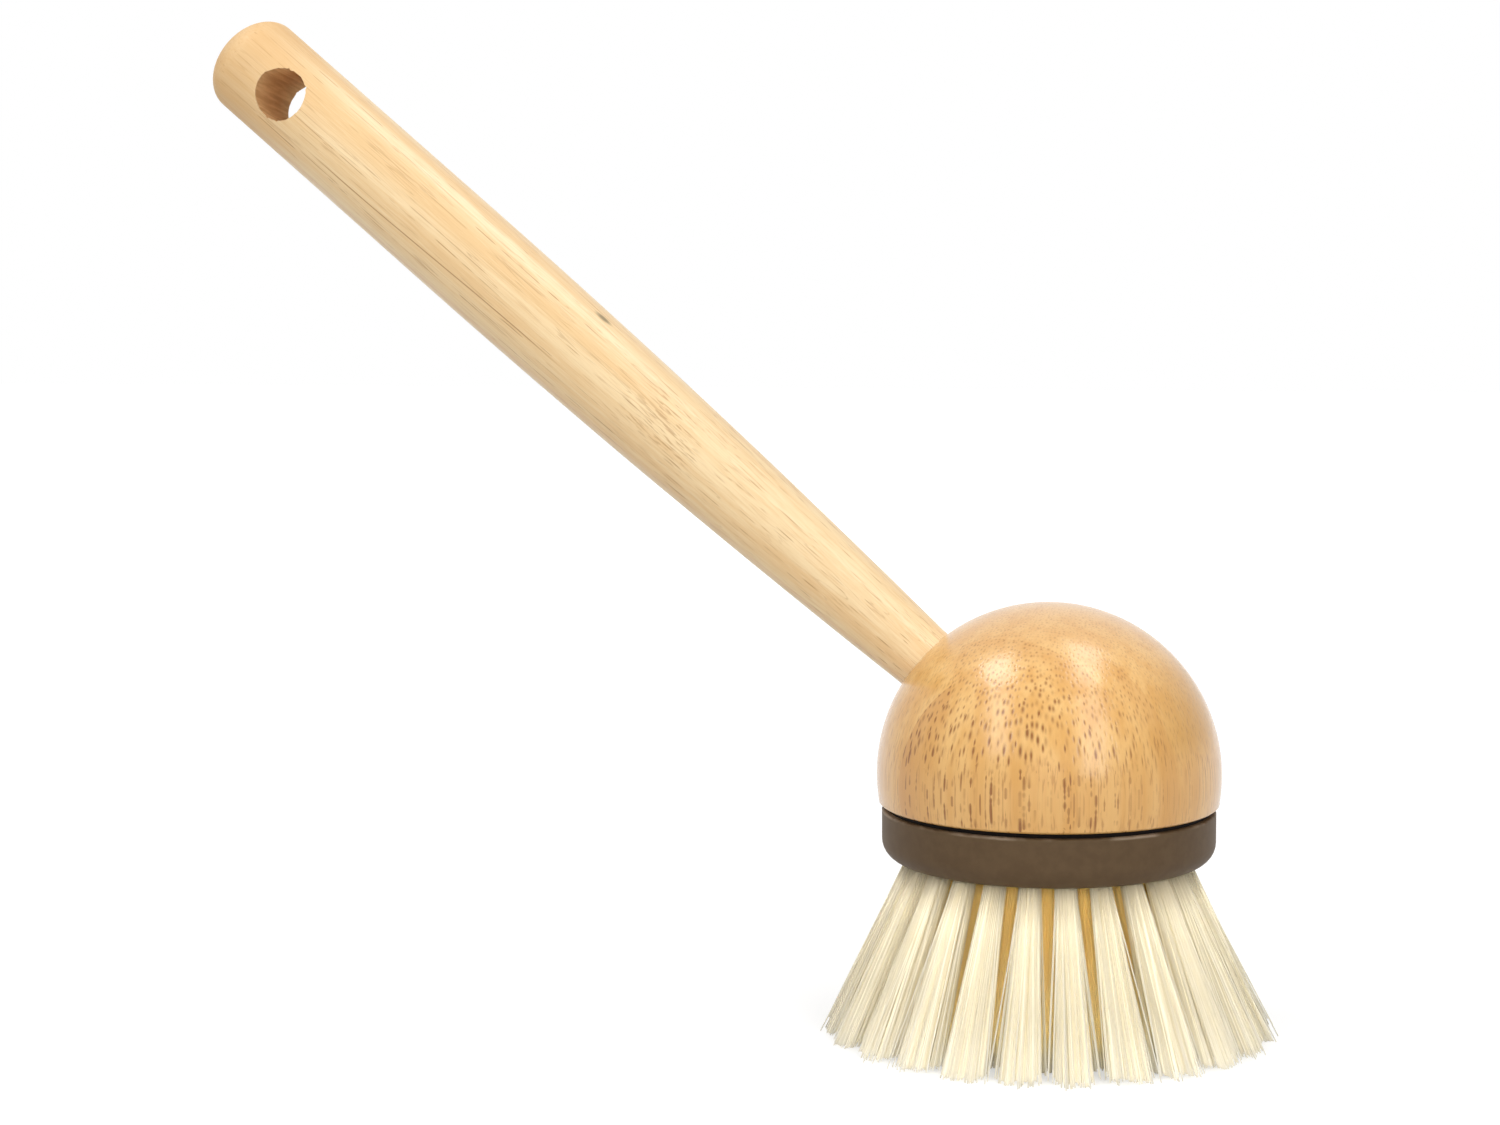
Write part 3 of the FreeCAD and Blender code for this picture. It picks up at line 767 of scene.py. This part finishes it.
for ring in range(len(TUFT_RINGS)):
    for root, down, *_ in tuft_frames(ring):
        deselect()
        bpy.ops.mesh.primitive_cylinder_add(
            vertices=TUFT_HOLE_SIDES, radius=HOLE_MOUTH_RADIUS, depth=TUFT_HOLE_DEPTH + CUT_OVERRUN
        )
        cutter = bpy.context.object
        cutter.rotation_euler = down.to_track_quat("Z", "Y").to_euler()
        cutter.location = root + down * (CUT_OVERRUN - TUFT_HOLE_DEPTH) / 2
        cutters.append(cutter)
bored(plate, joined(cutters))
# the mould line at the rim is uneven
ragged = random.Random(11)
rim_lift = [ragged.gauss(0, RAGGED_LIFT) for _ in range(PLATE_STEPS)]
for vertex in plate.data.vertices:
    radius = math.hypot(vertex.co.x, vertex.co.y)
    if radius > PLATE_RADIUS - RAGGED_WIDTH and vertex.co.z > PLATE_TOP - RAGGED_DEPTH:
        turn = math.atan2(vertex.co.y, vertex.co.x) / (2 * math.pi)
        lift = rim_lift[round(turn * PLATE_STEPS) % PLATE_STEPS]
        near_top = (vertex.co.z - PLATE_TOP) / RAGGED_DEPTH + 1
        vertex.co.z += lift * near_top
        vertex.co.x *= 1 + lift * near_top / radius
        vertex.co.y *= 1 + lift * near_top / radius
smooth(plate, 40)
outer_thread = thread_ridge(
    "outer_thread",
    wall=SPIGOT_RADIUS - THREAD_SINK,
    crest=SPIGOT_RADIUS + THREAD_DEPTH,
    foot=OUTER_THREAD_START,
    turns=1,
)
joined([plate, outer_thread])

plate_plastic, tree, shader, place = finish_of("plate_plastic_matte")
mottle = span(tree, speckle(tree, place, 500, 4.0), 0.3, 0.7)
brown = blend_colour(tree, mottle, paint(86, 67, 46), paint(92, 73, 51))
height = add(tree, "ShaderNodeSeparateXYZ", {0: place}).outputs[2]
# the top edge of the rim is painted lighter in nicks: partly worn mould flash, partly a painted highlight
# where the edge catches light
near_rim = span(tree, height, PLATE_TOP - RIM_WEAR_AND_HIGHLIGHT_DEPTH, PLATE_TOP - RIM_WEAR_AND_HIGHLIGHT_FULL)
nicks = span(tree, speckle(tree, place, 110, 6.0), 0.4, 0.6)
wear_and_highlight = maths(tree, "MULTIPLY", near_rim, nicks)
brown = blend_colour(tree, maths(tree, "MULTIPLY", wear_and_highlight, 0.8), brown, paint(150, 132, 112))
pores = relief(tree, speckle(tree, place, 2500, 2.0), 0.1, 0.05 * MM)
feed(tree, shader, {"Base Color": brown, "Roughness": 0.55, "Specular IOR Level": 0.18, "Normal": pores})
plate.data.materials.append(plate_plastic)
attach(plate, "brush_head")
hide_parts("brush_plate")

# Anchors: a short flat of steel wire across the fold of every tuft, driven into its hole.
# They are hidden in the plate, so the modelled ones stay as they are.
anchor_steel, tree, shader, place = finish_of("anchor_steel_plain")
scuffs = speckle(tree, place, 3000, 3.0)
steel = blend_colour(tree, scuffs, paint(176, 176, 178), paint(206, 206, 208))
feed(tree, shader, {"Base Color": steel, "Metallic": 1.0, "Roughness": 0.35})
for ring_name in TUFT_RINGS:
    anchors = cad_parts[ring_name + "_anchors"]
    anchors.data.materials.clear()
    anchors.data.materials.append(anchor_steel)

# Tufts: bundles of cream plastic filaments, folded into the plate's holes and trimmed flat.
# They fan out from the plate, and single filaments stray into the gaps near the tips.
FILAMENTS_PER_TUFT = 240
FILAMENT_RADIUS = 0.12 * MM
FILAMENT_SIDES = 4
FILAMENT_SECTIONS = 4
ROOT_SINK = 1.5 * MM
ROOT_SPREAD = 1.8 * MM
TIP_WIDTH = 3.15 * MM
TIP_DEPTH = 3.7 * MM
TIP_SQUARENESS = 0.7
TIP_SCATTER = 0.2 * MM
STRAY_SHARE = 0.14
STRAY_REACH = (0.2 * MM, 2.0 * MM)
FLARE_SHARE = 0.03
FLARE_REACH = (0.5 * MM, 2.5 * MM)
BOW_ASIDE = 0.05 * MM
BOW_OUT = 0.08 * MM
CLUMPS = 9
GOLDEN_ANGLE = 2.39996
ROOT_SHADE_START = 23 * MM
TIP_TINT_END = 12 * MM
GOLD_START = 1.5 * MM
GOLD_FULL = 6 * MM
GOLD_DEEP = 24 * MM

deselect()
bpy.ops.mesh.primitive_circle_add(vertices=FILAMENT_SIDES, radius=FILAMENT_RADIUS, fill_type="NGON")
filament = bpy.context.object
filament.name = "filament"
bpy.ops.object.mode_set(mode="EDIT")
bpy.ops.mesh.select_all(action="SELECT")
for section in range(FILAMENT_SECTIONS - 1):
    bpy.ops.mesh.extrude_region_move(TRANSFORM_OT_translate={"value": (0, 0, MM)})
bpy.ops.mesh.select_all(action="SELECT")
bpy.ops.mesh.normals_make_consistent(inside=False)
bpy.ops.object.mode_set(mode="OBJECT")
section_of = [round(vertex.co.z / MM) for vertex in filament.data.vertices]
round_of = [(vertex.co.x, vertex.co.y) for vertex in filament.data.vertices]
filament_faces = [tuple(polygon.vertices) for polygon in filament.data.polygons]
bpy.data.objects.remove(filament)


def filament_line(chance, frame_of_tuft, spot, ends):
    """Centre line of one filament from inside its hole to its trimmed tip, and whether it strays."""
    root, down, out, aside = frame_of_tuft
    across, inward = spot
    squared = max(abs(across), abs(inward)) / math.hypot(across, inward)
    corner = squared**-TIP_SQUARENESS
    stray = math.copysign(chance.uniform(*STRAY_REACH), across) if chance.random() < STRAY_SHARE else 0
    sideways = across * corner * TIP_WIDTH + chance.gauss(0, TIP_SCATTER) + stray
    flare = chance.uniform(*FLARE_REACH) if chance.random() < FLARE_SHARE else 0
    outward = inward * corner * TIP_DEPTH + chance.gauss(0, TIP_SCATTER) + flare
    mouth = root + aside * across * ROOT_SPREAD + out * inward * ROOT_SPREAD
    tip = root + down * (BRISTLE_LENGTH / -down.z) + aside * sideways + out * outward
    reach = tip - mouth
    tip = mouth + reach * ((mouth.z - ends) / (mouth.z - tip.z))
    start = mouth - down * ROOT_SINK
    bow = aside * chance.gauss(0, BOW_ASIDE) + out * chance.gauss(0, BOW_OUT)
    points = [start]
    for i in range(1, FILAMENT_SECTIONS):
        share = i / (FILAMENT_SECTIONS - 1)
        points.append(mouth.lerp(tip, share) + bow * math.sin(math.pi * share))
    return points, bool(stray or flare)


bristle_fibre, tree, shader, place = finish_of("bristle_fibre_cream")
shade = add(tree, "ShaderNodeAttribute", {}, attribute_name="shade").outputs["Fac"]
height = add(tree, "ShaderNodeSeparateXYZ", {0: place}).outputs[2]
# the shade attribute holds each filament's random tone, and a painted lighter tone on the strays
cream = blend_colour(tree, shade, paint(201, 194, 175), paint(231, 226, 210))
# painted shade: the filaments are painted darker close to the plate, where it shades them
root_shade = span(tree, height, ROOT_SHADE_START, BRISTLE_LENGTH, 0.0, 0.6)
cream = blend_colour(tree, root_shade, cream, paint(182, 171, 146))
near_tip = span(tree, height, 0, TIP_TINT_END, 0.3, 0.0)
cream = blend_colour(tree, near_tip, cream, paint(246, 242, 230))
# painted light: filaments inside the bundle are painted golden for the light that comes through the others,
# all but their tips
inside = add(tree, "ShaderNodeAttribute", {}, attribute_name="inside").outputs["Fac"]
inside = maths(tree, "MULTIPLY", inside, span(tree, height, GOLD_START, GOLD_FULL, 0.1, 1.0))
golden = blend_colour(tree, span(tree, height, 0, GOLD_DEEP), paint(255, 240, 190), paint(240, 214, 142))
cream = blend_colour(tree, inside, cream, golden)
feed(tree, shader, {"Base Color": cream, "Roughness": 0.5, "Specular IOR Level": 0.25})
shader.subsurface_method = "BURLEY"
feed(tree, shader, {"Subsurface Weight": 0.2, "Subsurface Scale": 2.0 * MM})
feed(tree, shader, {"Subsurface Radius": (1.0, 0.92, 0.75)})
# the filaments are translucent, so lamps shine through them into the gaps
through = add(tree, "ShaderNodeBsdfTransparent", {"Color": (0.99, 0.984, 0.955, 1)})
shadow_ray = add(tree, "ShaderNodeLightPath", {}).outputs["Is Shadow Ray"]
lit = add(tree, "ShaderNodeMixShader", {0: shadow_ray, 1: shader.outputs[0], 2: through.outputs[0]})
feed(tree, tree.nodes["Material Output"], {"Surface": lit.outputs[0]})

for ring, ring_name in enumerate(TUFT_RINGS):
    chance = random.Random(100 + ring)
    points, faces, tones_and_glow, insides = [], [], [], []
    for frame_of_tuft in tuft_frames(ring):
        down, out, aside = frame_of_tuft[1:]
        facing = Matrix((aside, out, -down)).transposed()
        tuft_trim = chance.uniform(0.0, 0.15)
        lean = [chance.gauss(0, 0.3) for _ in range(3)]
        clumps = [abs(chance.gauss(0, 0.5)) for _ in range(CLUMPS)]
        for i in range(FILAMENTS_PER_TUFT):
            rho = math.sqrt((i + 0.5) / FILAMENTS_PER_TUFT)
            turn = i * GOLDEN_ANGLE + chance.uniform(-0.25, 0.25)
            spot = (rho * math.cos(turn), rho * math.sin(turn))
            # how far above the table this filament ends, worked out in millimetres
            wave = lean[0] * spot[0] + lean[1] * math.sin(4 * spot[0] + lean[2])
            clump = clumps[int(CLUMPS / 2 * (spot[0] + 1)) % CLUMPS]
            ends = (0.02 + tuft_trim + abs(wave) * 0.5 + clump + chance.expovariate(8)) * MM
            first = len(points)
            line, strays = filament_line(chance, frame_of_tuft, spot, ends)
            for section, (x, y) in zip(section_of, round_of):
                points.append(line[section] + facing @ Vector((x, y, 0)))
            faces += [tuple(first + v for v in face) for face in filament_faces]
            # painted light: a stray filament is painted lighter for the light that passes through a lone
            # filament; the others get a random tone
            tones_and_glow += [0.9 if strays else chance.uniform(0.0, 0.35)] * len(section_of)
            # the inner rings and the inner side of the outer ring get the painted golden light
            within = 1.0 if ring + 1 < len(TUFT_RINGS) else max(0.0, -0.5 * spot[1])
            insides += [within] * len(section_of)
    mesh = bpy.data.meshes.new(ring_name + "_filaments")
    mesh.from_pydata(points, [], faces)
    mesh.attributes.new("shade", "FLOAT", "POINT").data.foreach_set("value", tones_and_glow)
    mesh.attributes.new("inside", "FLOAT", "POINT").data.foreach_set("value", insides)
    tufts = bpy.data.objects.new(ring_name + "_filaments", mesh)
    bpy.context.scene.collection.objects.link(tufts)
    only(tufts)
    bpy.ops.object.mode_set(mode="EDIT")
    bpy.ops.mesh.select_all(action="SELECT")
    bpy.ops.mesh.normals_make_consistent(inside=False)
    bpy.ops.object.mode_set(mode="OBJECT")
    smooth(tufts, 80)
    tufts.data.materials.append(bristle_fibre)
    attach(tufts, "brush_head")
    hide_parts(ring_name + "_tufts")

# Stage: a plain white table under soft studio light, from two long lamps on either side.
# A broad fill stands in front and another behind, and neither shows in a reflection.
# The camera looks at the brush from the front, a little from above.
TABLE_SIZE = 6
GLOW_START = 0.15
GLOW_FULL = 1.2
LAMP_AIM = Vector((0, 0, 65 * MM))
CAMERA_PLACE = (89.916 * MM, -491.242 * MM, 131.216 * MM)
CAMERA_RIGHT = Vector((0.959655, 0.281142, -0.004680))
CAMERA_UP = Vector((-0.022627, 0.093805, 0.995333))
CAMERA_BACK = Vector((0.280269, -0.955070, 0.096382))


def seen_rays(tree):
    """Mask of the rays by which a thing is seen, straight, in a reflection or through another."""
    rays = add(tree, "ShaderNodeLightPath", {}).outputs
    seen = maths(tree, "MAXIMUM", rays["Is Camera Ray"], rays["Is Glossy Ray"])
    return maths(tree, "MAXIMUM", seen, rays["Is Transmission Ray"])


deselect()
bpy.ops.mesh.primitive_plane_add(size=TABLE_SIZE)
table = bpy.context.object
table.name = "table"
white, tree, shader, place = finish_of("table_white")
feed(tree, shader, {"Base Color": (0.55, 0.55, 0.55, 1), "Roughness": 0.9, "Specular IOR Level": 0.0})
far = vector_maths(tree, "LENGTH", {0: place})["Value"]
lift = maths(tree, "MULTIPLY", seen_rays(tree), span(tree, far, GLOW_START, GLOW_FULL, 0.55, 0.9))
glow = add(tree, "ShaderNodeEmission", {"Color": (1, 1, 1, 1), "Strength": lift})
both = add(tree, "ShaderNodeAddShader", {0: shader.outputs[0], 1: glow.outputs[0]})
feed(tree, tree.nodes["Material Output"], {"Surface": both.outputs[0]})
table.data.materials.append(white)

world = bpy.data.worlds.new("studio")
bpy.context.scene.world = world
world.use_nodes = True
tree = world.node_tree
level = span(tree, seen_rays(tree), 0.0, 1.0, 0.28, 1.0)
feed(tree, tree.nodes["Background"], {"Color": (1, 1, 1, 1), "Strength": level})


def lamp_spot(direction, away):
    """Place at a distance from the head, in a direction of turn and rise in degrees."""
    turn, rise = [math.radians(angle) for angle in direction]
    way = Vector((math.cos(rise) * math.cos(turn), math.cos(rise) * math.sin(turn), math.sin(rise)))
    return LAMP_AIM + way * away


def softbox(name, first, last, away, width, watts):
    """Long lamp between two directions, turned to the head."""
    start, end = lamp_spot(first, away), lamp_spot(last, away)
    lamp = bpy.data.lights.new(name, "AREA")
    lamp.shape = "RECTANGLE"
    lamp.size = width
    lamp.size_y = (end - start).length
    lamp.energy = watts
    holder = bpy.data.objects.new(name, lamp)
    bpy.context.scene.collection.objects.link(holder)
    middle = (start + end) / 2
    length_way = (end - start).normalized()
    back_way = middle - LAMP_AIM
    back_way = (back_way - length_way * back_way.dot(length_way)).normalized()
    turned_to_head = Matrix((length_way.cross(back_way), length_way, back_way)).transposed()
    holder.matrix_world = Matrix.Translation(middle) @ turned_to_head.to_4x4()
    return holder


softbox("left_upper", (168, 62), (-140, 60), away=1.2, width=0.32, watts=3.4)
softbox("left_lower", (-136, 56), (-113, 18), away=1.2, width=0.3, watts=2.6)
softbox("right_upper", (60, 66), (-30, 62), away=1.2, width=0.32, watts=3.4)
softbox("right_lower", (-35, 57), (-51, 6), away=1.2, width=0.33, watts=3.9)
front_fill = softbox("front_fill", (-80, 2), (-80, 22), away=1.3, width=0.5, watts=4.5)
front_fill.visible_glossy = False
back_fill = softbox("back_fill", (100, 8), (100, 35), away=1.4, width=0.6, watts=4.5)
back_fill.visible_glossy = False

view = bpy.data.cameras.new("photo_view")
view.sensor_width = 36
view.lens = 68.92
camera = bpy.data.objects.new("photo_view", view)
bpy.context.scene.collection.objects.link(camera)
camera_turn = Matrix((CAMERA_RIGHT, CAMERA_UP, CAMERA_BACK)).transposed()
camera.matrix_world = Matrix.Translation(CAMERA_PLACE) @ camera_turn.to_4x4()
bpy.context.scene.camera = camera
bpy.context.scene.view_settings.view_transform = "Standard"
